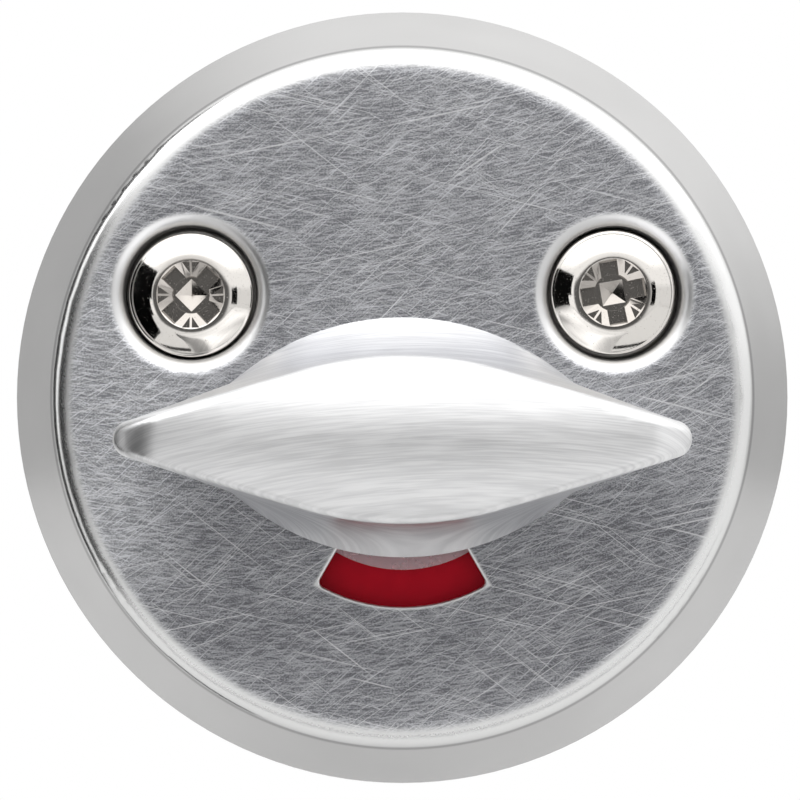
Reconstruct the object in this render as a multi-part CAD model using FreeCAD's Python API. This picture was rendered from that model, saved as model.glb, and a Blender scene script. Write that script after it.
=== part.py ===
import FreeCAD, Part
import math
import os

# Bathroom thumb turn lock: a drawn rose, an eccentric thumb turn with an indicator, and through screws.
# Each piece is drawn as seen from the front, in millimetres: X right, Y up, Z out of the door, with the
# origin where the spindle axis meets the door. stand_up() turns it so that Z is up and the front faces -Y.

V = FreeCAD.Vector

# Rose cover
sheet = 0.8               # thickness of the drawn sheet
rose_height = 9.0         # door to face
flank_draft = 21.2        # degrees from square to the door
shoulder_radius = 4.4     # face falling away before the corner, outside
shoulder_turn = 18.0      # degrees that it falls away by
corner_radius = 1.1       # bend into the flank, outside
rose_offset = 2.8         # rose centre above the spindle axis

# Screws and the cups pressed into the cover for them
screw_spacing = 30.0
screw_rise = 7.4          # screws above the rose centre
screw_radius = 2.5
screw_length = 40.0       # under the head
screw_neck = 2.24         # radius of the plain shank, before the thread is rolled
thread_start = 1.0        # behind the door face
screw_point = 0.6         # chamfer at the end of the screw
shank_hole_gap = 0.25     # round the screw, in cover and carrier
head_radius = 4.42
head_rim = 2.35           # height of the straight side of the head
head_height = 3.45
head_edge = 0.25          # rounding of the head's rim
head_gap = 0.28           # head to cup wall
cup_lip = 1.3             # rounding from the face into the cup
cup_depth = 3.4           # face to the seat of the head
cup_margin = 0.08         # lip to the start of the shoulder
recess_radius = 2.43
recess_depth = 1.7
recess_core = 1.25        # radius of the round middle of the recess
recess_wing = 1.35        # width of one wing
recess_turn_left = 45.0   # degrees, how the left screw stopped
recess_turn_right = 10.0

# Window and indicator
window_half_angle = 30.0
window_inner = 7.9        # radius of the edge under the thumb turn
window_lap = 0.33         # disc beyond the outer edge of the window
window_corner = 0.45
window_edge = 0.2         # rounding of the punched edge
disc_thickness = 1.0
disc_cup_gap = 0.3
disc_flange_gap = 0.2
disc_floor_gap = 0.3
lug_inner = 9.7
lug_outer = 11.3
lug_half_angle = 8.0
lug_rest_angle = 135.0    # seen from the front, counted from +X towards +Y
lug_depth = 1.4
turn_range = 90.0
stop_clearance = 1.0      # degrees at each end of the stop slot
slot_gap = 0.3

# Bush
bush_wall = 0.85
bush_flange_radius = 9.4
bush_flange = 0.6
bush_proud = 0.15         # in front of the cover's face
press_gap = 0.02

# Thumb turn
running_gap = 0.05        # radial, and between the bush and the turn
neck_radius = 6.0
base_half_length = 14.4
base_half_width = 8.45
base_slope = 1.33         # slope of the straight part, times half width over half length
base_end_radius = 4.2
base_land = 0.7           # upright rim of the oval
base_edge = 0.3           # rounding of the rim, at the rose
blade_half_length = 19.5
blade_half_width = 5.7
blade_slope = 1.0
blade_tip_radius = 1.3
turn_top = 27.0           # door to the top of the crown
blade_start = 0.72        # share of the height at which the blade has its full length
flare_height = 4.6        # the oval draws in to the blade's width over this height
flare_power = 1.7         # how quickly it draws in
skirt_section_count = 9   # lofted
skirt_crowding = 1.4      # draws the sections together towards the base
crown_long_radius = 90.0
crown_cross_radius = 13.0
crown_end_radius = 5.0
crown_end_reach = 4.0     # end of the blade beyond the centre of its end rounding
crown_edge = 0.85

# Shank, spindle and what holds them
shank_flat = 9.2          # across flats
journal_radius = 5.6      # corners of the square, turned round
shank_end = 0.2           # above the door
spindle_size = 6.0
spindle_edge = 0.4
spindle_gap = 0.05
spindle_engaged = 13.0
spindle_behind = 42.0     # behind the door face
socket_relief = 0.5       # beyond the end of the spindle
pin_radius = 0.8
pin_inset = 0.2           # pin ends below the flats
washer = 0.8
washer_gap = 0.1
washer_lap = 1.6          # seat on the carrier's collar
ring_thickness = 1.0
ring_width = 1.6
ring_groove = 0.55        # depth of the groove
ring_play = 0.05
ring_ear_radius = 1.3
ring_ear_hole = 0.55
ring_ear_angle = 15.0     # middle of an ear, from the middle of the gap
ring_gap_angle = 6.0      # half of the gap

# Carrier behind the cover
carrier_gap = 0.2         # to the cover
carrier_wall = 1.6
carrier_edge = 0.5        # chamfer under the cover's corner
pocket_gap = 0.4          # round the disc
boss_radius = 5.0
rib = 1.4
rib_count = 8
collar_inner = 7.2        # collar that carries the washer
collar_wall = 1.8
wire_radius = 0.6         # detent spring
wire_gap = 0.05           # to the flats at rest
wire_side_gap = 0.25
wire_leg = 10.0           # from the axis to the open end
wire_bend_gap = 0.3       # bend to the collar

# Worked out
draft = math.radians(flank_draft)
screw_x = screw_spacing / 2
screw_y = rose_offset + screw_rise
cup_radius = head_radius + head_gap
cup_corner = head_gap     # the head seats inside the corner
lip_radius = cup_radius + cup_lip
flat_radius = math.hypot(screw_x, screw_rise) + lip_radius + cup_margin
shoulder_z = rose_height - shoulder_radius
corner_r = flat_radius + (shoulder_radius - corner_radius) * math.sin(math.radians(shoulder_turn))
corner_z = shoulder_z + (shoulder_radius - corner_radius) * math.cos(math.radians(shoulder_turn))
rose_radius = corner_r + (corner_radius + corner_z * math.sin(draft)) / math.cos(draft)
face_back = rose_height - sheet
seat_z = rose_height - cup_depth
cup_back = seat_z - sheet
screw_hole = screw_radius + shank_hole_gap
disc_radius = math.hypot(screw_x, screw_y) - cup_radius - sheet - disc_cup_gap
window_outer = disc_radius - window_lap
flange_back = face_back - bush_flange
disc_front = flange_back - disc_flange_gap
disc_back = disc_front - disc_thickness
bush_bore = neck_radius + running_gap
bush_radius = bush_bore + bush_wall
bush_front = rose_height + bush_proud
base_z = bush_front + running_gap
skirt_z = base_z + base_land
base_lean = math.degrees(math.atan(base_slope * base_half_width / base_half_length))
blade_lean = math.degrees(math.atan(blade_slope * blade_half_width / blade_half_length))
pocket_floor = disc_back - disc_floor_gap
web_back = pocket_floor - carrier_wall
plate_front = face_back - carrier_gap
wire_y = shank_flat / 2 + wire_gap + wire_radius
wire_z = web_back - wire_side_gap - wire_radius
collar_end = wire_z - wire_radius - wire_side_gap
washer_back = collar_end - washer
ring_back = washer_back - ring_thickness
groove_radius = journal_radius - ring_groove
collar_outer = collar_inner + collar_wall
pin_z = (pocket_floor + web_back) / 2
socket_top = shank_end + spindle_engaged + socket_relief


def cylinder(radius, low, high, x=0.0, y=0.0):
    return Part.makeCylinder(radius, high - low, V(x, y, low))


def tube(outer, inner, low, high, x=0.0, y=0.0):
    return cylinder(outer, low, high, x, y).cut(cylinder(inner, low, high, x, y))


def bar(x_size, y_size, low, high):
    return Part.makeBox(x_size, y_size, high - low, V(-x_size / 2, -y_size / 2, low))


def turned(shape, degrees):
    return shape.rotated(V(0, 0, 0), V(0, 0, 1), degrees)


def outline(start, *steps):
    # a step is a point for a line, or a (middle, end) pair for an arc
    edges = []
    at = V(*start)
    for step in steps:
        if isinstance(step[0], tuple):
            middle, end = V(*step[0]), V(*step[1])
            edges.append(Part.Arc(at, middle, end).toShape())
        else:
            end = V(*step)
            edges.append(Part.LineSegment(at, end).toShape())
        at = end
    return Part.Wire(edges)


def revolved(start, *steps, x=0.0, y=0.0):
    def lifted(point):
        return (point[0], 0, point[1])

    lifted_steps = [tuple(lifted(p) for p in s) if isinstance(s[0], tuple) else lifted(s) for s in steps]
    face = Part.Face(outline(lifted(start), *lifted_steps))
    return face.revolve(V(0, 0, 0), V(0, 0, 1), 360).translated(V(x, y, 0))


def arc_point(r, z, radius, degrees):
    angle = math.radians(degrees)
    return (r + radius * math.cos(angle), z + radius * math.sin(angle))


def sector(inner, outer, low, high, middle_angle, half_angle):
    def polar(radius, degrees):
        return (radius * math.cos(math.radians(degrees)), radius * math.sin(math.radians(degrees)), low)

    first, last = middle_angle - half_angle, middle_angle + half_angle
    wire = outline(
        polar(inner, first),
        polar(outer, first),
        (polar(outer, middle_angle), polar(outer, last)),
        polar(inner, last),
        (polar(inner, middle_angle), polar(inner, first)),
    )
    return Part.Face(wire).extrude(V(0, 0, high - low))


def upright_edges(shape):
    return [edge for edge in shape.Edges if edge.BoundBox.XLength < 1e-6 and edge.BoundBox.YLength < 1e-6]


def dome(inset):
    # the rose's outer form, inset all round by one distance
    corner = corner_radius - inset
    shoulder = shoulder_radius - inset
    meeting = 90 - shoulder_turn
    return revolved(
        (0, 0),
        (rose_radius - inset / math.cos(draft), 0),
        arc_point(corner_r, corner_z, corner, flank_draft),
        (
            arc_point(corner_r, corner_z, corner, (flank_draft + meeting) / 2),
            arc_point(corner_r, corner_z, corner, meeting),
        ),
        (
            arc_point(flat_radius, shoulder_z, shoulder, (meeting + 90) / 2),
            arc_point(flat_radius, shoulder_z, shoulder, 90),
        ),
        (0, rose_height - inset),
        (0, 0),
        y=rose_offset,
    )


def cone(inset, top):
    # the same flank, inset, with a square corner at the top
    foot = rose_radius - inset / math.cos(draft)
    return revolved((0, 0), (foot, 0), (foot - top * math.tan(draft), top), (0, top), (0, 0), y=rose_offset)


def screw_cup(x):
    outer_corner = cup_corner + sheet
    lip_z = rose_height - cup_lip
    floor_r = cup_radius - cup_corner
    return revolved(
        (screw_hole, seat_z),
        (floor_r, seat_z),
        (
            arc_point(floor_r, seat_z + cup_corner, cup_corner, -45),
            (cup_radius, seat_z + cup_corner),
        ),
        (cup_radius, lip_z),
        (arc_point(lip_radius, lip_z, cup_lip, 135), (lip_radius, rose_height)),
        (lip_radius, face_back),
        (
            arc_point(lip_radius, lip_z, cup_lip - sheet, 135),
            (cup_radius + sheet, lip_z),
        ),
        (cup_radius + sheet, seat_z + cup_corner),
        (
            arc_point(floor_r, seat_z + cup_corner, outer_corner, -45),
            (floor_r, cup_back),
        ),
        (screw_hole, cup_back),
        (screw_hole, seat_z),
        x=x,
        y=screw_y,
    )


def window_cut():
    hole = sector(window_inner, window_outer, face_back, rose_height, -90, window_half_angle)
    return hole.makeFillet(window_corner, upright_edges(hole))


def rose_cover():
    cover = dome(0).cut(dome(sheet))
    for x in (-screw_x, screw_x):
        cover = cover.cut(cylinder(lip_radius, face_back, rose_height, x, screw_y)).fuse(screw_cup(x))
    cover = cover.cut(cylinder(bush_radius + press_gap, face_back, rose_height))
    cover = cover.cut(window_cut()).removeSplitter()
    window_rim = [
        edge for edge in cover.Edges
        if abs(edge.BoundBox.ZMin - rose_height) < 1e-6
        and edge.BoundBox.YMax < 0
        and edge.CenterOfMass.Length < math.hypot(window_outer + 1, rose_height)
        and math.hypot(edge.CenterOfMass.x, edge.CenterOfMass.y) > window_inner - 1
    ]
    return cover.makeFillet(window_edge, window_rim)


def neck_bush():
    sleeve = tube(bush_radius, bush_bore, flange_back, bush_front)
    return sleeve.fuse(tube(bush_flange_radius, bush_bore, flange_back, face_back)).removeSplitter()


def square_shank(gap, low, high):
    return bar(shank_flat + 2 * gap, shank_flat + 2 * gap, low, high).common(
        cylinder(journal_radius + gap, low, high)
    )


def indicator_disc():
    disc = cylinder(disc_radius, disc_back, disc_front)
    lug = sector(lug_inner, lug_outer, disc_back - lug_depth, disc_back, lug_rest_angle, lug_half_angle)
    return disc.fuse(lug).cut(square_shank(press_gap, disc_back, disc_front)).removeSplitter()


def blade_outline(z, half_length, half_width, lean_degrees, end_radius):
    # straight flanks at a lean, tangent to the end arcs and to the side arc over the middle
    lean = math.radians(lean_degrees)
    run = half_length - end_radius
    offset = run * math.sin(lean) + end_radius
    side_radius = (offset - half_width * math.cos(lean)) / (1 - math.cos(lean))
    side_x = side_radius * math.sin(lean)
    side_y = half_width - side_radius * (1 - math.cos(lean))
    end_x, end_y = run + end_radius * math.sin(lean), end_radius * math.cos(lean)
    return outline(
        (end_x, -end_y, z),
        ((half_length, 0, z), (end_x, end_y, z)),
        (side_x, side_y, z),
        ((0, half_width, z), (-side_x, side_y, z)),
        (-end_x, end_y, z),
        ((-half_length, 0, z), (-end_x, -end_y, z)),
        (-side_x, -side_y, z),
        ((0, -half_width, z), (side_x, -side_y, z)),
        (end_x, -end_y, z),
    )


def skirt_section(share):
    # share runs from 0 at the oval base to 1 at the top of the blade
    height = share * (turn_top + crown_edge - skirt_z)
    flare = (1 - min(height / flare_height, 1.0)) ** flare_power
    along = min(share / blade_start, 1.0)
    spread = along * along * (3 - 2 * along)

    def drawn_in(base, blade):
        return blade + (base - blade) * flare

    def spread_out(base, blade):
        return base + (blade - base) * spread

    return blade_outline(
        skirt_z + height,
        spread_out(base_half_length, blade_half_length),
        drawn_in(base_half_width, blade_half_width),
        drawn_in(base_lean, blade_lean),
        spread_out(base_end_radius, blade_tip_radius),
    )


def crown_cutters():
    # all that stands above the crown: a cross arc carried along an arch with tighter ends
    half = blade_half_width + crown_edge
    sag = crown_cross_radius - math.sqrt(crown_cross_radius ** 2 - half ** 2)
    sky = turn_top + blade_half_length
    section = Part.Face(outline(
        (0, -half, turn_top - sag),
        ((0, 0, turn_top), (0, half, turn_top - sag)),
        (0, half, sky),
        (0, -half, sky),
        (0, -half, turn_top - sag),
    ))
    arm = crown_long_radius - crown_end_radius
    end_x = blade_half_length - crown_end_reach
    tilt = math.degrees(math.asin(end_x / arm))
    middle = V(0, 0, turn_top - crown_long_radius)
    bend_z = middle.z + arm * math.cos(math.radians(tilt))
    across = V(0, 1, 0)
    cutters = [section.rotated(middle, across, -tilt).revolve(middle, across, 2 * tilt)]
    for side in (-1, 1):
        end_section = section.rotated(middle, across, side * tilt)
        cutters.append(end_section.revolve(V(side * end_x, 0, bend_z), across, side * (90 - tilt)))
    return cutters


def crown_rim(turn):
    # the edges round the crown, between it and the lofted sides
    crown = [f for f in turn.Faces if not isinstance(f.Surface, (Part.BSplineSurface, Part.Plane))]
    edges = [edge for face in crown for edge in face.Edges]
    return [edge for edge in edges if sum(edge.isSame(other) for other in edges) == 1]


def thumb_turn():
    last = skirt_section_count - 1
    shares = [(index / last) ** skirt_crowding for index in range(skirt_section_count)]
    turn = Part.makeLoft([skirt_section(share) for share in shares], True, False)
    for cutter in crown_cutters():
        turn = turn.cut(cutter)
    turn = turn.makeFillet(crown_edge, crown_rim(turn))
    rim = Part.Face(skirt_section(0)).extrude(V(0, 0, -base_land))
    rim = rim.makeFillet(base_edge, [edge for edge in rim.Edges if edge.BoundBox.ZMax < skirt_z - base_land / 2])
    turn = turn.fuse(rim)
    turn = turn.fuse(cylinder(neck_radius, disc_front, base_z))
    turn = turn.fuse(square_shank(0, shank_end, disc_front))
    turn = turn.cut(tube(2 * journal_radius, groove_radius, ring_back - ring_play, washer_back + ring_play))
    socket = spindle_size + 2 * spindle_gap
    turn = turn.cut(bar(socket, socket, shank_end, socket_top))
    return turn.cut(cross_pin(press_gap, shank_flat)).removeSplitter()


def cross_pin(gap, length):
    return Part.makeCylinder(pin_radius + gap, length, V(-length / 2, 0, pin_z), V(1, 0, 0))


def spindle_pin():
    return cross_pin(0, shank_flat - 2 * pin_inset)


def spindle():
    square = bar(spindle_size, spindle_size, -spindle_behind, shank_end + spindle_engaged)
    ends = [e for e in square.Edges if abs(e.Vertexes[0].Point.z - e.Vertexes[1].Point.z) < 1e-6]
    square = square.makeChamfer(spindle_edge, ends)
    return square.cut(cross_pin(press_gap, 2 * spindle_size))


def thrust_washer():
    return tube(collar_inner + washer_lap, journal_radius + washer_gap, washer_back, collar_end)


def retaining_ring():
    inner = groove_radius + press_gap
    ears_radius = inner + ring_width - ring_ear_hole
    ring = tube(inner + ring_width, inner, ring_back, washer_back)
    for side in (-1, 1):
        angle = math.radians(side * ring_ear_angle - 90)
        x, y = ears_radius * math.cos(angle), ears_radius * math.sin(angle)
        ring = ring.fuse(cylinder(ring_ear_radius, ring_back, washer_back, x, y))
        ring = ring.cut(cylinder(ring_ear_hole, ring_back, washer_back, x, y))
    ring = ring.cut(cylinder(inner, ring_back, washer_back))
    opening = sector(inner / 2, 2 * inner, ring_back, washer_back, -90, ring_gap_angle)
    return ring.cut(opening).removeSplitter()


def detent_spring():
    notch_y = wire_y - wire_radius - wire_side_gap
    bend_x = math.sqrt(collar_outer ** 2 - notch_y ** 2) + wire_bend_gap
    path = outline(
        (wire_leg, wire_y, wire_z),
        (-bend_x, wire_y, wire_z),
        ((-bend_x - wire_y, 0, wire_z), (-bend_x, -wire_y, wire_z)),
        (wire_leg, -wire_y, wire_z),
    )
    end = Part.Wire(Part.makeCircle(wire_radius, V(wire_leg, wire_y, wire_z), V(1, 0, 0)))
    return path.makePipeShell([end], True, False)


def base_plate():
    inset = sheet + carrier_gap
    pocket_radius = disc_radius + pocket_gap
    hollow = cone(inset + carrier_wall, plate_front - carrier_wall)
    plate = cone(inset, plate_front)
    plate = plate.makeChamfer(carrier_edge, [e for e in plate.Edges if e.BoundBox.ZMin > plate_front - 1e-6])
    plate = plate.cut(hollow)
    plate = plate.fuse(cylinder(pocket_radius + carrier_wall, web_back, plate_front))
    plate = plate.fuse(tube(collar_outer, collar_inner, collar_end, web_back))
    rib_start = pocket_radius + carrier_wall / 2
    for index in range(rib_count):
        web = Part.makeBox(rose_radius, rib, plate_front - carrier_wall, V(rib_start, -rib / 2, 0))
        plate = plate.fuse(turned(web, (index + 0.5) * 360 / rib_count).common(hollow))
    for x in (-screw_x, screw_x):
        plate = plate.fuse(cylinder(boss_radius, 0, cup_back, x, screw_y))
    plate = plate.cut(cylinder(pocket_radius, pocket_floor, plate_front))
    for x in (-screw_x, screw_x):
        cup_clear = cup_radius + sheet + shank_hole_gap
        plate = plate.cut(cylinder(cup_clear, cup_back, plate_front, x, screw_y))
        plate = plate.cut(cylinder(screw_hole, 0, cup_back, x, screw_y))
    plate = plate.cut(cylinder(journal_radius + running_gap, web_back, pocket_floor))
    swept = turn_range / 2 + lug_half_angle + stop_clearance
    slot_middle = lug_rest_angle - turn_range / 2
    plate = plate.cut(
        sector(lug_inner - slot_gap, lug_outer + slot_gap, web_back, pocket_floor, slot_middle, swept)
    )
    notch = 2 * (wire_radius + wire_side_gap)
    for y in (-wire_y, wire_y):
        plate = plate.cut(bar(2 * collar_outer, notch, collar_end, web_back).translated(V(0, y, 0)))
    return plate.removeSplitter()


def driver_recess(x, degrees):
    top = seat_z + head_height
    bottom = top - recess_depth
    pit = revolved((0, bottom), (recess_core, bottom + recess_core / 2), (recess_core, top), (0, top), (0, bottom))
    recess = pit
    wing = bar(2 * recess_radius, recess_wing, bottom + recess_core / 2, top)
    for crossing in (wing, turned(wing, 90)):
        recess = recess.fuse(crossing)
    return turned(recess.common(cylinder(recess_radius, bottom, top)), degrees).translated(V(x, screw_y, 0))


def fixing_screw(x, degrees):
    tip = seat_z - screw_length
    top = seat_z + head_height
    rim_z = seat_z + head_rim
    dome_r = head_radius - head_edge
    dome_rise = head_height - head_rim
    dome_radius = (dome_r ** 2 + dome_rise ** 2) / (2 * dome_rise)
    half_way = math.degrees(math.asin(dome_r / dome_radius)) / 2
    screw = revolved(
        (0, tip),
        (screw_radius - screw_point, tip),
        (screw_radius, tip + screw_point),
        (screw_radius, -thread_start),
        (screw_neck, screw_radius - screw_neck - thread_start),
        (screw_neck, seat_z),
        (head_radius, seat_z),
        (head_radius, rim_z - head_edge),
        (dome_r, rim_z),
        (arc_point(0, top - dome_radius, dome_radius, 90 - half_way), (0, top)),
        (0, tip),
        x=x,
        y=screw_y,
    )
    return screw.cut(driver_recess(x, degrees))


def fixing_screw_left():
    return fixing_screw(-screw_x, recess_turn_left)


def fixing_screw_right():
    return fixing_screw(screw_x, recess_turn_right)


def stand_up(shape):
    return shape.rotated(V(0, 0, 0), V(1, 0, 0), 90)


pieces = (
    rose_cover,
    base_plate,
    neck_bush,
    indicator_disc,
    thumb_turn,
    spindle,
    spindle_pin,
    thrust_washer,
    retaining_ring,
    detent_spring,
    fixing_screw_left,
    fixing_screw_right,
)


def main():
    os.makedirs("parts", exist_ok=True)
    for piece in pieces:
        shape = stand_up(piece())
        if len(shape.Solids) != 1 or not shape.isValid():
            raise RuntimeError(f"{piece.__name__}: {len(shape.Solids)} solids, valid {shape.isValid()}")
        solid = shape.Solids[0]
        solid.exportStep(f"parts/{piece.__name__}.step")
        print(piece.__name__, round(solid.Volume, 1), len(solid.Faces))


main()
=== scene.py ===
import math

import bpy
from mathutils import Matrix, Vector


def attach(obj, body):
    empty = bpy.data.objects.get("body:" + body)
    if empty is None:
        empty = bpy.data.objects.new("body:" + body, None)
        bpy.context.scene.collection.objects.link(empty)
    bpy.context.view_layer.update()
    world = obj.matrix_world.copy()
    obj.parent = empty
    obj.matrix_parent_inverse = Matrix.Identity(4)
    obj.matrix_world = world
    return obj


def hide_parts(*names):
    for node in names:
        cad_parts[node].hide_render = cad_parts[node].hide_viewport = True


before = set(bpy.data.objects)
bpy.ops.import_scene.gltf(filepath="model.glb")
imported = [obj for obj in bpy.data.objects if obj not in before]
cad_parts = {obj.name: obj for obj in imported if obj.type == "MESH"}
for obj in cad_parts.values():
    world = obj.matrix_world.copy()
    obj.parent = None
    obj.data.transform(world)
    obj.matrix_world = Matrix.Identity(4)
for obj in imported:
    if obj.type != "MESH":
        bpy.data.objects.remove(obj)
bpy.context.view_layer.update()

scene = bpy.context.scene
scene.view_settings.view_transform = "Standard"
mm = 0.001
print("frame loaded,", len(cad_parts), "nodes")


class Wire:                          # a node's output that can be used in sums
    def __init__(self, bench, socket):
        self.bench = bench
        self.socket = socket

    def __add__(self, other):
        return self.bench.maths("ADD", self, other)

    def __sub__(self, other):
        return self.bench.maths("SUBTRACT", self, other)

    def __rsub__(self, other):
        return self.bench.maths("SUBTRACT", other, self)

    def __mul__(self, other):
        return self.bench.maths("MULTIPLY", self, other)

    def __abs__(self):
        return self.bench.maths("ABSOLUTE", self)

    __radd__ = __add__
    __rmul__ = __mul__


class Bench:                         # one node tree being wired up
    def __init__(self, tree):
        self.tree = tree
        tree.nodes.clear()

    def add(self, kind, settings=None, values=None, out=0):
        node = self.tree.nodes.new("ShaderNode" + kind)
        for name, value in (settings or {}).items():
            setattr(node, name, value)
        for name, value in (values or {}).items():
            if isinstance(value, Wire):
                self.tree.links.new(value.socket, node.inputs[name])
            else:
                node.inputs[name].default_value = value
        return Wire(self, node.outputs[out]) if node.outputs else None

    def maths(self, operation, *values):
        return self.add("Math", {"operation": operation}, dict(enumerate(values)))

    def ramp(self, value, low, high):            # soft step from 0 at low to 1 at high
        limits = {"Value": value, "From Min": low, "From Max": high}
        return self.add("MapRange", {"interpolation_type": "SMOOTHSTEP"}, limits)

    def length(self, x, y):
        return self.maths("SQRT", x * x + y * y)

    def join(self, x, y, z):
        return self.add("CombineXYZ", None, {0: x, 1: y, 2: z})

    def split(self, vector):
        first = self.add("SeparateXYZ", None, {0: vector})
        return [Wire(self, socket) for socket in first.socket.node.outputs]

    def place(self):                             # Object coordinates in millimetres
        spot = self.add("TexCoord", None, None, 3)
        scaled = self.add("VectorMath", {"operation": "MULTIPLY"}, {0: spot, 1: (1 / mm,) * 3})
        return self.split(scaled)

    def noise(self, x, y, z, detail=2.0):
        return self.add("TexNoise", None, {"Vector": self.join(x, y, z), "Scale": 1.0, "Detail": detail})

    def grain(self, spot, pitch, detail=2.0):    # noise with a pitch per mm along x, y and z
        return self.noise(*[way * share for way, share in zip(spot, pitch)], detail)

    def mix(self, share, first, second):         # two colours
        return self.add("Mix", {"data_type": "RGBA"}, {0: share, 6: first, 7: second}, 2)

    def bump(self, height, strength, depth):     # depth in mm
        return self.add("Bump", None, {"Height": height, "Strength": strength, "Distance": depth * mm})

    def surface(self, values):
        shader = self.add("BsdfPrincipled", None, values)
        self.add("OutputMaterial", None, {"Surface": shader})


def newMaterial(name):
    made = bpy.data.materials.new(name)
    made.use_nodes = True
    return made, Bench(made.node_tree)


def grey(value):
    return (value, value, value, 1.0)


# Stage: camera square on, soft white above and behind, and black cards for the metal to reflect

stageSizes = {
    "cameraAt": (-0.00016, -0.325, 0.002633),
    "lens": 201.2,
    "nearest": 0.01,             # what the camera still sees
    "floorZ": -0.062,
    "floorSize": 0.64,
    "floorPaint": 0.47,          # as the part sees it
    "floorGlow": 0.9,            # and how far it is white to the camera
    "uprightFlags": {            # black cards standing to the sides: middle, then length and height
        "farFlag": ((-0.105, -0.1525, 0.039), (0.185, 0.065)),
        "cornerFlag": ((-0.105, 0.005, 0.055), (0.05, 0.23)),
        "tipFlag": ((-0.105, -0.1075, -0.01175), (0.125, 0.0365)),
        "nearFlag": ((-0.06, -0.04925, -0.014), (0.0385, 0.05)),
        "rightFlag": ((0.12, -0.235, 0.012), (0.15, 0.055)),
    },
    "floorFlags": {              # and lying on the floor
        "rearStrip": ((-0.165, 0.012, -0.0615), (0.27, 0.016)),
        "frontStrip": ((0.0, -0.062, -0.0615), (0.3, 0.006)),
    },
    "keyAt": (0.1, -0.25, 0.55),
    "keySize": 0.6,
    "keyPower": 2.2,
}
studio = {                       # light by direction: limits of each soft step, and its strength
    "above": (0.07, 0.17),
    "aboveLight": 1.05,
    "below": (0.13, 0.25),
    "belowLight": 0.6,
    "frontLight": 0.13,          # between above and below
    "right": (0.16, 0.36),
    "rightLight": 0.7,
    "left": (0.24, 0.36),
    "leftLight": 0.95,
    "overhead": (0.32, 0.6),     # more light from steeply up
    "overheadEnd": (-0.02, 0.14),        # but not from over the door
    "side": (0.0, 0.35),         # from ahead to behind
    "behindLight": 0.56,
    "lift": (0.2, 0.6),          # and behind it grows upwards
    "liftLean": 0.35,            # and to the right
    "liftLight": 0.5,
}


def setCamera():
    lens = bpy.data.cameras.new("photoCamera")
    lens.lens = stageSizes["lens"]
    lens.clip_start = stageSizes["nearest"]
    camera = bpy.data.objects.new("photoCamera", lens)
    camera.location = stageSizes["cameraAt"]
    camera.rotation_euler = (math.radians(90), 0, 0)
    scene.collection.objects.link(camera)
    scene.camera = camera


def setWorld():
    world = bpy.data.worlds.new("studio")
    scene.world = world
    world.use_nodes = True
    bench = Bench(world.node_tree)
    x, y, z = bench.split(bench.add("TexCoord", None, None, 0))
    above = bench.ramp(z, *studio["above"])
    below = bench.ramp(0 - z, *studio["below"])
    right = bench.ramp(x, *studio["right"]) * studio["rightLight"]
    left = bench.ramp(0 - x, *studio["left"]) * studio["leftLight"]
    overhead = bench.ramp(z, *studio["overhead"]) * (1 - bench.ramp(y, *studio["overheadEnd"]))
    front = (1 - above - below) * (studio["frontLight"] + right + left)
    ahead = above * studio["aboveLight"] + overhead + below * studio["belowLight"] + front
    lift = bench.ramp(z + studio["liftLean"] * x, *studio["lift"]) * studio["liftLight"]
    behind = studio["behindLight"] + lift
    side = bench.ramp(y, *studio["side"])
    level = ahead * (1 - side) + behind * side
    seen = bench.add("LightPath", None, None, 0)
    light = bench.add("Background", None, {"Color": grey(1), "Strength": level})
    backdrop = bench.add("Background", None, {"Color": grey(1), "Strength": 1.0})
    shown = bench.add("MixShader", None, {0: seen, 1: light, 2: backdrop})
    bench.add("OutputWorld", None, {"Surface": shown})


def setLamp():
    lamp = bpy.data.lights.new("overhead", "AREA")
    lamp.size = stageSizes["keySize"]
    lamp.energy = stageSizes["keyPower"]
    holder = bpy.data.objects.new("overhead", lamp)
    holder.location = stageSizes["keyAt"]
    holder.rotation_euler = (-Vector(stageSizes["keyAt"])).to_track_quat("-Z", "Y").to_euler()
    holder.visible_glossy = False            # metal sees the studio, not this lamp
    scene.collection.objects.link(holder)


def setFloor():
    size, level = stageSizes["floorSize"], stageSizes["floorZ"]
    bpy.ops.mesh.primitive_plane_add(size=size, location=(0, 0, level))
    floor = bpy.context.object
    floor.name = "paleFloor"
    made, bench = newMaterial("paleFloor")
    seen = bench.add("LightPath", None, None, 0)
    paint = bench.add("BsdfDiffuse", None, {"Color": grey(stageSizes["floorPaint"])})
    glow = bench.add("Emission", None, {"Color": grey(1), "Strength": 1.0})
    shown = bench.add("MixShader", None, {0: seen * stageSizes["floorGlow"], 1: paint, 2: glow})
    bench.add("OutputMaterial", None, {"Surface": shown})
    floor.data.materials.append(made)


def setFlag(name, size, at, turn):               # a black card that only reflections show
    bpy.ops.mesh.primitive_plane_add(size=1.0, location=at, rotation=turn)
    flag = bpy.context.object
    flag.name = name
    flag.scale = (*size, 1)
    flag.visible_camera = flag.visible_diffuse = flag.visible_shadow = False
    made, bench = newMaterial(name)
    bench.surface({"Base Color": grey(0), "Roughness": 1.0, "Specular IOR Level": 0.0})
    flag.data.materials.append(made)


bpy.ops.object.select_all(action="DESELECT")
setCamera()
setWorld()
setLamp()
setFloor()
for name, (at, size) in stageSizes["uprightFlags"].items():
    setFlag(name, size, at, (math.radians(90), 0, math.radians(90)))
for name, (at, size) in stageSizes["floorFlags"].items():
    setFlag(name, size, at, (0, 0, 0))
print("stage set")


# Finishes, with places in mm and pitches per mm

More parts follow.
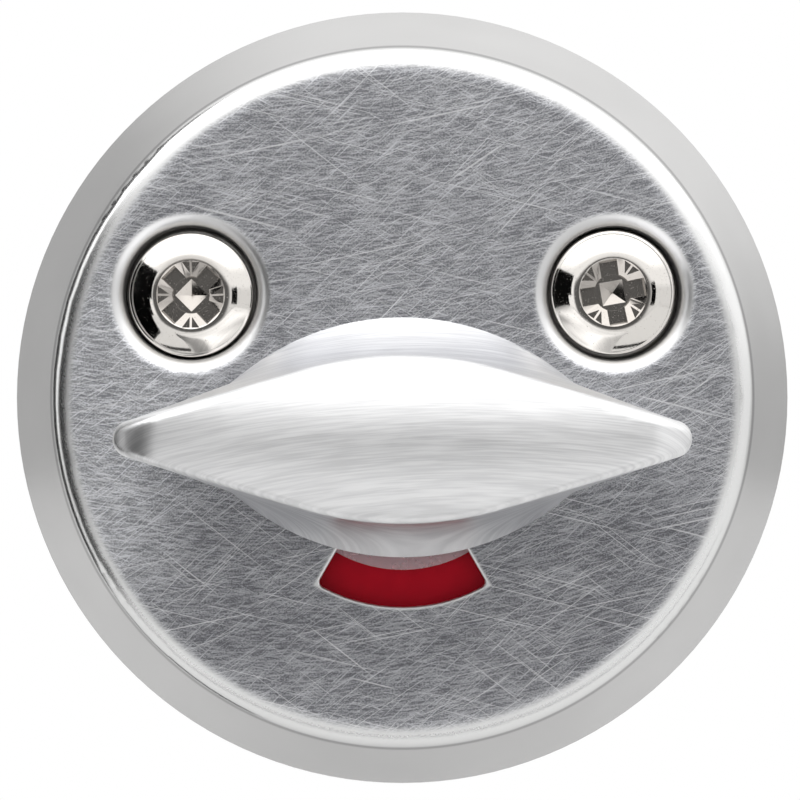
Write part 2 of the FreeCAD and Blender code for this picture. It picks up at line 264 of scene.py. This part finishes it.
brushing = {
    "rise": 0.10,                # slope of the brushing at the middle
    "sweep": 0.005,              # and how it grows to the right, per mm
    "finePitch": (0.9, 8.5),     # along and across
    "fineSeed": 1.7,
    "specklePitch": (8.0, 8.0, 8.0),
    "cloudPitch": (0.12, 0.12, 0.2),
    "cloudDetail": 1.0,
    "cloudShare": 0.1,
    "hairAngles": (20, -12, 33, -30, 7, 44),
    "hairPitch": (0.42, 12.5),
    "hairApart": 2.7,            # seeds of one angle and the next
    "hairRange": (0.66, 0.84),   # the noise that shows as hairlines
    "scratchAngles": (24, 35, 12, -38, 47, -14),
    "scratchPitch": (0.085, 11.0),
    "scratchApart": 3.3,
    "scratchRange": (0.76, 0.80),
    "scratchShare": 0.6,
    "groundRange": (0.38, 0.62),
    "groundShade": 0.75,
    "hairShade": 0.8,
    "shadeDrop": 0.06,
    "paintedLightAbove": (-9.0, 2.0),        # painted light: the face is painted brighter above this
    "paintedLightAboveShare": 0.42,
    "foot": (15.0, 22.0),        # painted light: also a little below this
    "footShare": 0.35,
    "paintedLightLeftFrom": (12.0, 22.0),    # and painted light in a patch at the left
    "paintedLightLeftBand": (7.0, 15.0),
    "flat": (8.88, 8.998),       # the brushing fades where the face falls away
    "flank": (-8.5, -8.1),       # and the flank is blasted
    "corner": (23.5, 24.2),      # the corner is smoother, from the middle of the rose
    "creaseShadeLine": 24.9,                # the turned line where corner and flank meet, with a dark line of painted shade on it
    "creaseShadeBand": (0.03, 0.15),
    "creaseShadeShare": 0.7,
    "lipEnd": (22.6, 23.0),      # nearer the middle than this a slope is a screw cup's lip
    "middleZ": 2.8,
    "windowRadius": 11.97,       # the window's edge gets a painted highlight
    "windowHalf": 30.0,
    "windowHighlightBand": (0.1, 0.35),
    "windowHighlightShare": 0.9,
    "lip": (0.72, 0.72, 0.72, 1),
    # the polished corner's colour, also used for the painted highlight on the window's edge
    "polishedAndHighlight": (0.86, 0.86, 0.855, 1),
    # colour of the painted shade along the line where corner and flank meet
    "creaseShadeGrey": (0.26, 0.26, 0.26, 1),
    "dark": (0.17, 0.172, 0.188, 1),
    "mid": (0.52, 0.525, 0.55, 1),
    # painted light: a lit copy of dark and mid
    "paintedLitDark": (0.32, 0.325, 0.345, 1),
    "paintedLitMid": (0.91, 0.915, 0.95, 1),
    "light": (0.92, 0.92, 0.93, 1),
    "satinDark": (0.57, 0.565, 0.56, 1),
    "satinLight": (0.65, 0.645, 0.64, 1),
    "roughness": 0.24,
    "faceRoughness": 0.11,       # more on the face
    "roughSpread": 0.12,
    "hairHeight": 0.3,
    "scratchHeight": 0.4,
    "speckleHeight": 0.05,
    "bump": (0.2, 0.02),         # strength and depth
}


def hairlines(bench, x, z, angle, pitch, seed):
    turn = math.radians(angle)
    along = x * math.cos(turn) + z * math.sin(turn)
    across = z * math.cos(turn) - x * math.sin(turn)
    return bench.noise(along * pitch[0], across * pitch[1], seed, 0.0)


def crossing(bench, x, z, kind):                 # lines at several angles, the strongest showing
    pitch, apart = brushing[kind + "Pitch"], brushing[kind + "Apart"]
    lines = None
    for count, angle in enumerate(brushing[kind + "Angles"]):
        more = hairlines(bench, x, z, angle, pitch, apart * count)
        lines = bench.maths("MAXIMUM", lines, more) if lines else more
    return bench.ramp(lines, *brushing[kind + "Range"])


def brushedFace(bench, x, z, ground, hairs, scratches):
    shade = ground * brushing["groundShade"] + hairs * brushing["hairShade"] - brushing["shadeDrop"]
    paintedLightAbove = bench.ramp(z, *brushing["paintedLightAbove"]) * brushing["paintedLightAboveShare"]
    foot = bench.ramp(0 - z, *brushing["foot"]) * brushing["footShare"]
    paintedLightLeft = bench.ramp(0 - x, *brushing["paintedLightLeftFrom"]) * (1 - bench.ramp(abs(z), *brushing["paintedLightLeftBand"]))
    # painted light: the face mixes to its lit copy above, at the foot and at the left
    plain = bench.mix(shade, brushing["dark"], brushing["mid"])
    bright = bench.mix(shade, brushing["paintedLitDark"], brushing["paintedLitMid"])
    colour = bench.mix(paintedLightAbove + foot + paintedLightLeft, plain, bright)
    colour = bench.mix(scratches * brushing["scratchShare"], colour, brushing["light"])
    half, share = math.radians(brushing["windowHalf"]), brushing["windowHighlightShare"]
    aside = abs(x) * math.cos(half) + z * math.sin(half)
    outside = bench.maths("MAXIMUM", aside, bench.length(x, z) - brushing["windowRadius"])
    # painted highlight: a bright band along the window's edge
    edge = share - bench.ramp(outside, *brushing["windowHighlightBand"]) * share
    return bench.mix(edge, colour, brushing["polishedAndHighlight"])


def smoothSlopes(bench, y, fromMiddle, cloud):
    satin = bench.mix(cloud, brushing["satinDark"], brushing["satinLight"])
    outer = bench.ramp(fromMiddle, *brushing["lipEnd"])
    slope = bench.mix(outer, brushing["lip"], brushing["polishedAndHighlight"])
    colour = bench.mix(bench.ramp(y, *brushing["flank"]), slope, satin)
    share = brushing["creaseShadeShare"]
    # painted shade: a dark grey line where corner and flank meet
    creaseShadeLine = share - bench.ramp(abs(fromMiddle - brushing["creaseShadeLine"]), *brushing["creaseShadeBand"]) * share
    return bench.mix(creaseShadeLine, colour, brushing["creaseShadeGrey"])


def brushedStainless():
    made, bench = newMaterial("brushedStainless")
    x, y, z = spot = bench.place()
    flat = bench.ramp(0 - y, *brushing["flat"])
    along, across = brushing["finePitch"]
    rows = z - x * brushing["rise"] - x * x * brushing["sweep"]
    fine = bench.noise(x * along, rows * across, brushing["fineSeed"])
    speckle = bench.grain(spot, brushing["specklePitch"])
    cloud = bench.grain(spot, brushing["cloudPitch"], brushing["cloudDetail"])
    blend = fine * 0.5 + speckle * 0.5 + (cloud - 0.5) * brushing["cloudShare"]
    ground = bench.ramp(blend, *brushing["groundRange"])
    hairs = crossing(bench, x, z, "hair")
    scratches = crossing(bench, x, z, "scratch")
    fromMiddle = bench.length(x, z - brushing["middleZ"])
    brushed = brushedFace(bench, x, z, ground, hairs, scratches)
    smooth = smoothSlopes(bench, y, fromMiddle, cloud)
    face = 1 - bench.ramp(fromMiddle, *brushing["corner"])
    uneven = (speckle - 0.5) * brushing["roughSpread"]
    height = (hairs * brushing["hairHeight"] + scratches * brushing["scratchHeight"]) * flat
    bench.surface({
        "Base Color": bench.mix(flat, smooth, brushed),
        "Metallic": 1.0,
        "Roughness": brushing["roughness"] + face * brushing["faceRoughness"] + uneven,
        "Normal": bench.bump(height + speckle * brushing["speckleHeight"], *brushing["bump"]),
    })
    return made


satin = {                        # the thumb turn, brushed along its blade
    "lean": 0.05,
    "finePitch": (0.3, 8.0),     # along and across
    "fineSeed": 2.2,
    "fineShare": 0.6,
    "broadPitch": (0.08, 2.0),
    "broadSeed": 7.7,
    "broadShare": 0.4,
    "toneRange": (0.34, 0.66),
    "dark": (0.74, 0.74, 0.745, 1),
    "light": (0.91, 0.91, 0.912, 1),
    "roughness": 0.37,
    "roughSpread": 0.12,
    "bump": (0.12, 0.02),
}


def satinNickel():
    made, bench = newMaterial("satinNickel")
    x, y, z = bench.place()
    rows = z + y - x * satin["lean"]
    along, across = satin["finePitch"]
    fine = bench.noise(x * along, rows * across, satin["fineSeed"])
    along, across = satin["broadPitch"]
    broad = bench.noise(x * along, rows * across, satin["broadSeed"])
    both = fine * satin["fineShare"] + broad * satin["broadShare"]
    tone = bench.ramp(both, *satin["toneRange"])
    bench.surface({
        "Base Color": bench.mix(tone, satin["dark"], satin["light"]),
        "Metallic": 1.0,
        "Roughness": satin["roughness"] + (fine - 0.5) * satin["roughSpread"],
        "Normal": bench.bump(both, *satin["bump"]),
    })
    return made


plating = {                      # the screws: their axes, and the mouth of the recess
    "x": 15.0,
    "z": 10.2,
    "recess": 2.5,
    "recessEdge": 0.1,
    "recessShadeRing": 2.85,
    "recessShadeRingEdge": 0.35,
    "recessShadeShare": 0.3,           # painted shade in and round the recess
    "peelPitch": (1.6, 1.6, 1.6),
    "pitPitch": (9.0, 9.0, 9.0),
    "pitRange": (0.62, 0.75),
    "pitShare": 0.6,
    "bright": (0.80, 0.77, 0.73, 1),
    "pitted": (0.42, 0.39, 0.36, 1),
    # colour of the painted shade in and round the recess
    "recessShadeColour": (0.25, 0.22, 0.195, 1),
    "roughness": 0.07,
    "pitRoughness": 0.25,
    "recessRoughness": 0.08,
    "peelHeight": 0.7,
    "pitHeight": 0.3,
    "bump": (0.1, 0.02),
}


def brightNickel():
    made, bench = newMaterial("brightNickel")
    x, y, z = spot = bench.place()
    peel = bench.grain(spot, plating["peelPitch"])
    pits = bench.grain(spot, plating["pitPitch"])
    dull = bench.ramp(pits, *plating["pitRange"])
    fromAxis = bench.length(abs(x) - plating["x"], z - plating["z"])
    recess = bench.ramp(plating["recess"] - fromAxis, 0.0, plating["recessEdge"])
    recessShadeRing = bench.ramp(plating["recessShadeRing"] - fromAxis, 0.0, plating["recessShadeRingEdge"])
    colour = bench.mix(dull * plating["pitShare"], plating["bright"], plating["pitted"])
    # painted shade: darker inside the recess and in a ring round its mouth
    colour = bench.mix((recessShadeRing + recess) * plating["recessShadeShare"], colour, plating["recessShadeColour"])
    rough = dull * plating["pitRoughness"] + recess * plating["recessRoughness"]
    height = peel * plating["peelHeight"] + pits * plating["pitHeight"]
    bench.surface({
        "Base Color": colour,
        "Metallic": 1.0,
        "Roughness": plating["roughness"] + rough,
        "Normal": bench.bump(height, *plating["bump"]),
    })
    return made


indicator = {
    "red": (0.46, 0.003, 0.015, 1),
    "deepRed": (0.36, 0.002, 0.012, 1),
    "white": (0.82, 0.82, 0.80, 1),
    "fieldEdge": (-0.02, 0.02),
    "ripplePitch": (0.7, 0.7, 0.7),
    "grainPitch": (12.0, 12.0, 12.0),
    "gloss": 0.15,
    "roughness": 0.2,
    "roughSpread": 0.1,
    "bump": (0.06, 0.1),
}


def indicatorPlastic():
    made, bench = newMaterial("indicatorPlastic")
    x, y, z = spot = bench.place()
    red = bench.ramp(0 - z - abs(x), *indicator["fieldEdge"])      # the quarter below the axis
    ripple = bench.grain(spot, indicator["ripplePitch"])
    grain = bench.grain(spot, indicator["grainPitch"])
    deep = bench.mix(ripple, indicator["red"], indicator["deepRed"])
    bench.surface({
        "Base Color": bench.mix(red, indicator["white"], deep),
        "Specular IOR Level": indicator["gloss"],
        "Roughness": indicator["roughness"] + grain * indicator["roughSpread"],
        "Normal": bench.bump(ripple, *indicator["bump"]),
    })
    return made


nylon = {
    "cloudPitch": (0.8, 0.8, 0.8),
    # painted light: the white nylon is tinted pink, painted red bounce light from the indicator
    "dark": (0.92, 0.70, 0.74, 1),
    "light": (0.96, 0.76, 0.80, 1),
    "roughness": 0.22,
    "roughSpread": 0.1,
    "clear": 0.7,
    "index": 1.53,
    "bump": (0.1, 0.1),
}


def nylonPaintedRedBounce():
    made, bench = newMaterial("nylonPaintedRedBounce")
    cloud = bench.grain(bench.place(), nylon["cloudPitch"])
    bench.surface({
        # the pink colour is painted red bounce light
        "Base Color": bench.mix(cloud, nylon["dark"], nylon["light"]),
        "Roughness": nylon["roughness"] + cloud * nylon["roughSpread"],
        "Transmission Weight": nylon["clear"],
        "IOR": nylon["index"],
        "Normal": bench.bump(cloud, *nylon["bump"]),
    })
    return made


moulded = {                      # the carrier
    "sparkPitch": (6.0, 6.0, 6.0),
    "sparkDetail": 4.0,
    "flowPitch": (0.12, 0.12, 0.12),
    "dark": (0.045, 0.046, 0.05, 1),
    "light": (0.075, 0.076, 0.08, 1),
    "roughness": 0.42,
    "roughSpread": 0.3,
    "bump": (0.35, 0.03),
}


def carrierPlastic():
    made, bench = newMaterial("carrierPlastic")
    spot = bench.place()
    spark = bench.grain(spot, moulded["sparkPitch"], moulded["sparkDetail"])
    flow = bench.grain(spot, moulded["flowPitch"])
    bench.surface({
        "Base Color": bench.mix(flow, moulded["dark"], moulded["light"]),
        "Roughness": moulded["roughness"] + spark * moulded["roughSpread"],
        "Normal": bench.bump(spark, *moulded["bump"]),
    })
    return made


drawn = {
    "spotPitch": (1.4, 1.4, 1.4),
    "lineShare": 0.6,
    "spotShare": 0.4,
    "toneRange": (0.3, 0.7),
    "roughSpread": 0.2,
    "bump": (0.2, 0.02),
}
drawnMetals = {                  # finish: name, dark, light, roughness, pitch of the lines
    "wire": ("springWire", (0.36, 0.35, 0.33, 1), (0.60, 0.59, 0.56, 1), 0.3, (0.3, 4.0, 4.0)),
    "zinc": ("zincPlate", (0.50, 0.51, 0.53, 1), (0.74, 0.75, 0.77, 1), 0.32, (4.0, 0.2, 4.0)),
    "phosphate": ("phosphatedSteel", (0.03, 0.03, 0.032, 1), grey(0.10), 0.5, (5.0, 5.0, 5.0)),
}


def drawnMetal(name, dark, light, roughness, pitch):
    made, bench = newMaterial(name)
    spot = bench.place()
    lines = bench.grain(spot, pitch)
    spots = bench.grain(spot, drawn["spotPitch"])
    tone = bench.ramp(lines * drawn["lineShare"] + spots * drawn["spotShare"], *drawn["toneRange"])
    bench.surface({
        "Base Color": bench.mix(tone, dark, light),
        "Metallic": 1.0,
        "Roughness": roughness + (spots - 0.5) * drawn["roughSpread"],
        "Normal": bench.bump(lines, *drawn["bump"]),
    })
    return made


finishes = {
    "cover": brushedStainless(),
    "turn": satinNickel(),
    "screw": brightNickel(),
    "disc": indicatorPlastic(),
    "bush": nylonPaintedRedBounce(),
    "carrier": carrierPlastic(),
}
for finish, facts in drawnMetals.items():
    finishes[finish] = drawnMetal(*facts)
print("finishes made:", len(finishes))


# Pieces taken from the CAD as they are, with merged points and smooth shading

carriedOver = {                  # node: name, body, slot, finish
    "rose_cover": ("roseCover", "rose", "brushed_stainless", "cover"),
    "base_plate": ("basePlate", "rose", "carrier_grey", "carrier"),
    "neck_bush": ("neckBush", "rose", "natural_nylon", "bush"),
    "detent_spring": ("detentSpring", "rose", "spring_wire", "wire"),
    "thumb_turn": ("thumbTurn", "turn", "satin_nickel", "turn"),
    "indicator_disc": ("indicatorDisc", "turn", "indicator_red", "disc"),
    "thrust_washer": ("thrustWasher", "turn", "zinc_plate", "zinc"),
    "retaining_ring": ("retainingRing", "turn", "phosphated_steel", "phosphate"),
    "spindle": ("spindleBar", "turn", "zinc_plate", "zinc"),
    "spindle_pin": ("spindlePin", "turn", "spring_wire", "wire"),
}
smoothing = {"angle": 32.0, "merge": 1e-7}


def only(piece):
    bpy.ops.object.select_all(action="DESELECT")
    piece.select_set(True)
    bpy.context.view_layer.objects.active = piece


def editAll():                                   # into edit mode with everything selected
    bpy.ops.object.mode_set(mode="EDIT")
    bpy.ops.mesh.select_all(action="SELECT")


def editDone():
    bpy.ops.object.mode_set(mode="OBJECT")


def turnOut():                                   # normals out, then back to object mode
    bpy.ops.mesh.select_all(action="SELECT")
    bpy.ops.mesh.normals_make_consistent(inside=False)
    editDone()


def settle():                                    # place, turn and size go into the mesh
    bpy.ops.object.transform_apply(location=True, rotation=True, scale=True)


def carryOver(node, name, body, slot, finish):
    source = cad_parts[node]
    piece = bpy.data.objects.new(name, source.data.copy())
    scene.collection.objects.link(piece)
    only(piece)
    if piece.data.has_custom_normals:
        bpy.ops.mesh.customdata_custom_splitnormals_clear()
    editAll()
    bpy.ops.mesh.remove_doubles(threshold=smoothing["merge"])
    editDone()
    bpy.ops.object.shade_smooth_by_angle(angle=math.radians(smoothing["angle"]))
    even = piece.modifiers.new("even", "WEIGHTED_NORMAL")
    even.keep_sharp = True
    bpy.ops.object.modifier_apply(modifier=even.name)
    piece.data.materials.clear()
    piece.data.materials.append(finishes[finish])
    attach(piece, body)
    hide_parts(node)


for node, facts in carriedOver.items():
    carryOver(node, *facts)
print("carried over:", len(carriedOver))


# Fixing screws, modelled upright in millimetres with the seat of the head at height 0

screwSizes = {
    "seat": -5.6,                # of the head in the row, from the door
    "segments": 128,
    "headRadius": 4.42,
    "headEdge": 0.14,
    "edgeSteps": 4,
    "rimHeight": 2.35,
    "headHeight": 3.45,
    "domeRings": 36,
    "neckRadius": 2.24,
    "neckEnd": -6.5,
    "neckLap": 0.2,              # the thread's core runs on into the neck
    "threadRadius": 2.5,
    "threadRoot": 2.02,
    "threadForm": (0.1, 0.36, 0.44, 0.7),    # along one pitch: root ends, crest starts, ends, root starts
    "pitch": 0.8,
    "turns": 41,
    "threadSteps": 40,
    "tip": -40.0,
    "tipPlain": 0.5,             # without thread at the tip
    "tipShare": 0.9,             # radius at the tip
    "mouthRadius": 2.43,
    "mouthFlat": 0.85,           # the dome levels off towards the mouth
    "mouthDrop": 0.05,           # the lands slope down to the middle from here
    "mouthSlope": 26.0,
    "mouthTip": 0.2,             # radius at the bottom of that slope
    "wingReach": 2.39,           # from the axis, just inside the mouth
    "wingWidth": 1.35,
    "wingDepths": {0: 1.76, 90: 1.8},        # turn and depth: not quite level with each other
    "wingTaper": (0.92, 0.9),    # bottom of a wing, along and across
    "coreRadius": 1.42,
    "coreTaper": 0.9,
    "coreDrop": 0.06,            # below the floor of the wings
    "pitDepth": 0.5,
    "pitRadius": 1.24,
    "pitTip": 0.04,
    "pitTop": 0.4,
    "pitTurn": 45.0,
    "notchTurns": (45, 135, 225, 315),
    "notchInner": 1.55,
    "notchOuter": 2.32,
    "notchHalf": 0.62,
    "notchRib": 0.08,
    "notchDepth": 0.92,
    "clear": 0.5,                # cutters stand out of the head
    "weld": 0.002,               # points nearer than this are one
    "holeSides": 8,
    "edge": 0.03,                # broken edges
    "bevelSteps": 2,
    "edgeAngle": 38.0,
    "smoothAngle": 20.0,
}
screwPlaces = {                  # node: name, x, z, turn of the recess, how it sits in its cup
    "fixing_screw_left": ("fixingScrewLeft", -15.0, 10.2, 45.0, (0.02, -0.12)),
    "fixing_screw_right": ("fixingScrewRight", 15.0, 10.2, 10.0, (-0.06, 0.06)),
}


def lathe(name, rings, segments):
    radius, height = rings[0]
    bpy.ops.mesh.primitive_circle_add(
        vertices=segments, radius=radius, fill_type="NGON", location=(0, 0, height))
    piece = bpy.context.object
    piece.name = name
    editAll()
    for nextRadius, nextHeight in rings[1:]:
        bpy.ops.mesh.extrude_region_move(TRANSFORM_OT_translate={"value": (0, 0, nextHeight - height)})
        share = nextRadius / radius
        bpy.ops.transform.resize(value=(share, share, 1), center_override=(0, 0, nextHeight))
        radius, height = nextRadius, nextHeight
    turnOut()
    settle()
    return piece


def combine(piece, other, how):                  # boolean, applied
    only(piece)
    step = piece.modifiers.new(how.lower(), "BOOLEAN")
    step.operation = how
    step.solver = "EXACT"
    step.object = other
    bpy.ops.object.modifier_apply(modifier=step.name)
    bpy.data.objects.remove(other)


def domeHeight(radius):
    rimRadius = screwSizes["headRadius"] - screwSizes["headEdge"]
    rise = screwSizes["headHeight"] - screwSizes["rimHeight"]
    curve = (rimRadius ** 2 + rise ** 2) / (2 * rise)
    width = screwSizes["mouthFlat"]
    flatFrom = screwSizes["mouthRadius"] + width
    into = min(max(flatFrom - radius, 0.0), width)
    ball = max(radius, flatFrom)
    slope = flatFrom / math.sqrt(curve ** 2 - flatFrom ** 2)
    level = slope * (into - into ** 2 / (2 * width))
    return screwSizes["headHeight"] - curve + math.sqrt(curve ** 2 - ball ** 2) + level


def headBlank():
    edge, rim = screwSizes["headEdge"], screwSizes["rimHeight"]
    radius, neck = screwSizes["headRadius"], screwSizes["neckRadius"]
    rings = [
        (neck, screwSizes["neckEnd"]),
        (neck, -edge),
        (neck + edge, 0.0),
        (radius - edge, 0.0),
        (radius, edge),
    ]
    for step in range(screwSizes["edgeSteps"]):              # the rounded rim
        angle = math.radians(90) * step / screwSizes["edgeSteps"]
        rings.append((radius - edge * (1 - math.cos(angle)), rim - edge * (1 - math.sin(angle))))
    for step in range(screwSizes["domeRings"]):
        at = (radius - edge) * (1 - step / screwSizes["domeRings"])
        rings.append((at, domeHeight(at)))
    return lathe("screwBlank", rings, screwSizes["segments"])


def wingCutter(turn, below):
    top, depth = screwSizes["headHeight"] + screwSizes["clear"], below + screwSizes["clear"]
    along, across = screwSizes["wingTaper"]
    bpy.ops.mesh.primitive_cube_add(size=1.0, location=(0, 0, top - depth / 2))
    cutter = bpy.context.object
    cutter.scale = (2 * screwSizes["wingReach"], screwSizes["wingWidth"], depth)
    settle()
    for point in cutter.data.vertices:           # narrower and shorter at the bottom
        if point.co.z < top - depth / 2:
            point.co.x *= along
            point.co.y *= across
    cutter.rotation_euler = (0, 0, math.radians(turn))
    settle()
    return cutter


def notchCutter(turn, side):
    inner, half = screwSizes["notchInner"], screwSizes["notchHalf"]
    outer, rib = screwSizes["notchOuter"], screwSizes["notchRib"]
    top = screwSizes["headHeight"] + screwSizes["clear"]
    depth = screwSizes["notchDepth"] + screwSizes["clear"]
    corners = [(inner, side * rib), (outer, side * rib), (outer, side * half)]
    bpy.ops.mesh.primitive_circle_add(vertices=3, radius=1.0, fill_type="NGON")
    cutter = bpy.context.object
    for point, (x, y) in zip(cutter.data.vertices, corners):
        point.co = (x, y, top)
    editAll()
    bpy.ops.mesh.extrude_region_move(TRANSFORM_OT_translate={"value": (0, 0, -depth)})
    turnOut()
    cutter.rotation_euler = (0, 0, math.radians(turn))
    settle()
    return cutter


def sweptThread(start):                          # one pitch of the profile, swept up the screw
    root, crest = screwSizes["threadRoot"], screwSizes["threadRadius"]
    rootEnd, crestStart, crestEnd, rootStart = screwSizes["threadForm"]
    line = [(root, 0.0), (root, rootEnd), (crest, crestStart)]
    line += [(crest, crestEnd), (root, rootStart), (root, screwSizes["pitch"])]
    bpy.ops.mesh.primitive_plane_add(size=1.0)
    thread = bpy.context.object
    thread.name = "screwThread"
    editAll()
    bpy.ops.mesh.merge(type="CENTER")
    bpy.ops.transform.translate(value=(root, 0, start))
    for (x, z), (nextX, nextZ) in zip(line, line[1:]):
        bpy.ops.mesh.extrude_region_move(TRANSFORM_OT_translate={"value": (nextX - x, 0, nextZ - z)})
    editDone()
    sweep = thread.modifiers.new("sweep", "SCREW")
    sweep.axis = "Z"
    sweep.screw_offset = screwSizes["pitch"]
    sweep.iterations = screwSizes["turns"]
    sweep.steps = sweep.render_steps = screwSizes["threadSteps"]
    sweep.use_merge_vertices = True
    sweep.merge_threshold = screwSizes["weld"]
    only(thread)
    bpy.ops.object.modifier_apply(modifier=sweep.name)
    editAll()
    bpy.ops.mesh.remove_doubles(threshold=screwSizes["weld"])
    bpy.ops.mesh.select_mode(type="EDGE")
    bpy.ops.mesh.select_all(action="DESELECT")
    editDone()
    return thread


def selectRim(thread, low, middle):              # the open edges at one end of the sweep
    counts = {}
    for panel in thread.data.polygons:
        for key in panel.edge_keys:
            counts[key] = counts.get(key, 0) + 1
    for edge in thread.data.edges:
        ends = [thread.data.vertices[index].co.z for index in edge.vertices]
        edge.select = counts.get(edge.key, 0) == 1 and (max(ends) < middle) == low


def threadBody():
    start = screwSizes["tip"] + screwSizes["tipPlain"]
    middle = start + screwSizes["pitch"] * (screwSizes["turns"] + 1) / 2
    thread = sweptThread(start)
    tipCap = (True, screwSizes["tip"], screwSizes["tipShare"])
    neckCap = (False, screwSizes["neckEnd"] + screwSizes["neckLap"], 1.0)
    for low, end, share in (tipCap, neckCap):
        selectRim(thread, low, middle)
        bpy.ops.object.mode_set(mode="EDIT")
        bpy.ops.mesh.extrude_region_move()
        bpy.ops.transform.resize(value=(share, share, 0), center_override=(0, 0, end))
        bpy.ops.mesh.edge_face_add()
        bpy.ops.mesh.select_all(action="DESELECT")
        editDone()
    bpy.ops.object.mode_set(mode="EDIT")
    bpy.ops.mesh.select_mode(type="VERT")
    turnOut()
    return thread


def cutRecess(screw):
    segments = screwSizes["segments"]
    top = screwSizes["headHeight"] + screwSizes["clear"]
    mouth, tip = screwSizes["mouthRadius"], screwSizes["mouthTip"]
    edge = domeHeight(mouth) - screwSizes["mouthDrop"]
    low = edge - (mouth - tip) * math.tan(math.radians(screwSizes["mouthSlope"]))
    combine(screw, lathe("mouthCutter", [(tip, low), (mouth, edge), (mouth, top)], segments), "DIFFERENCE")
    for turn, below in screwSizes["wingDepths"].items():
        combine(screw, wingCutter(turn, below), "DIFFERENCE")
    for turn in screwSizes["notchTurns"]:
        for side in (-1, 1):
            combine(screw, notchCutter(turn, side), "DIFFERENCE")
    floor = screwSizes["headHeight"] - max(screwSizes["wingDepths"].values())
    core, drop = screwSizes["coreRadius"], screwSizes["coreDrop"]
    coreRings = [(core * screwSizes["coreTaper"], floor - drop), (core, top)]
    combine(screw, lathe("coreCutter", coreRings, segments), "DIFFERENCE")
    pit = screwSizes["pitRadius"]
    pitRings = [
        (screwSizes["pitTip"], floor - screwSizes["pitDepth"]),
        (pit, floor - drop / 2),
        (pit, floor + screwSizes["pitTop"]),
    ]
    pitCutter = lathe("pitCutter", pitRings, 4)
    pitCutter.rotation_euler = (0, 0, math.radians(screwSizes["pitTurn"]))
    settle()
    combine(screw, pitCutter, "DIFFERENCE")


def makeScrew():
    screw = headBlank()
    cutRecess(screw)
    only(screw)
    editAll()
    bpy.ops.mesh.remove_doubles(threshold=screwSizes["weld"])
    bpy.ops.mesh.dissolve_degenerate(threshold=screwSizes["weld"])
    bpy.ops.mesh.fill_holes(sides=screwSizes["holeSides"])
    editDone()
    bevel = screw.modifiers.new("edges", "BEVEL")
    bevel.width = screwSizes["edge"]
    bevel.segments = screwSizes["bevelSteps"]
    bevel.limit_method = "ANGLE"
    bevel.angle_limit = math.radians(screwSizes["edgeAngle"])
    bpy.ops.object.modifier_apply(modifier=bevel.name)
    thread = threadBody()
    only(screw)
    thread.select_set(True)
    bpy.ops.object.join()
    bpy.ops.object.shade_smooth_by_angle(angle=math.radians(screwSizes["smoothAngle"]))
    screw.data.materials.clear()
    screw.data.materials.append(finishes["screw"])
    return screw


firstScrew = makeScrew()
print("screw modelled:", len(firstScrew.data.polygons), "faces")
for node, (name, x, z, turn, sits) in screwPlaces.items():
    screw = bpy.data.objects.new(name, firstScrew.data.copy())
    scene.collection.objects.link(screw)
    only(screw)
    screw.rotation_euler = (0, 0, math.radians(turn))
    settle()
    screw.rotation_euler = (math.radians(90), 0, 0)
    screw.scale = (mm, mm, mm)
    screw.location = ((x + sits[0]) * mm, screwSizes["seat"] * mm, (z + sits[1]) * mm)
    settle()
    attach(screw, "rose")
    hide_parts(node)
bpy.data.objects.remove(firstScrew)
print("screws placed:", len(screwPlaces))
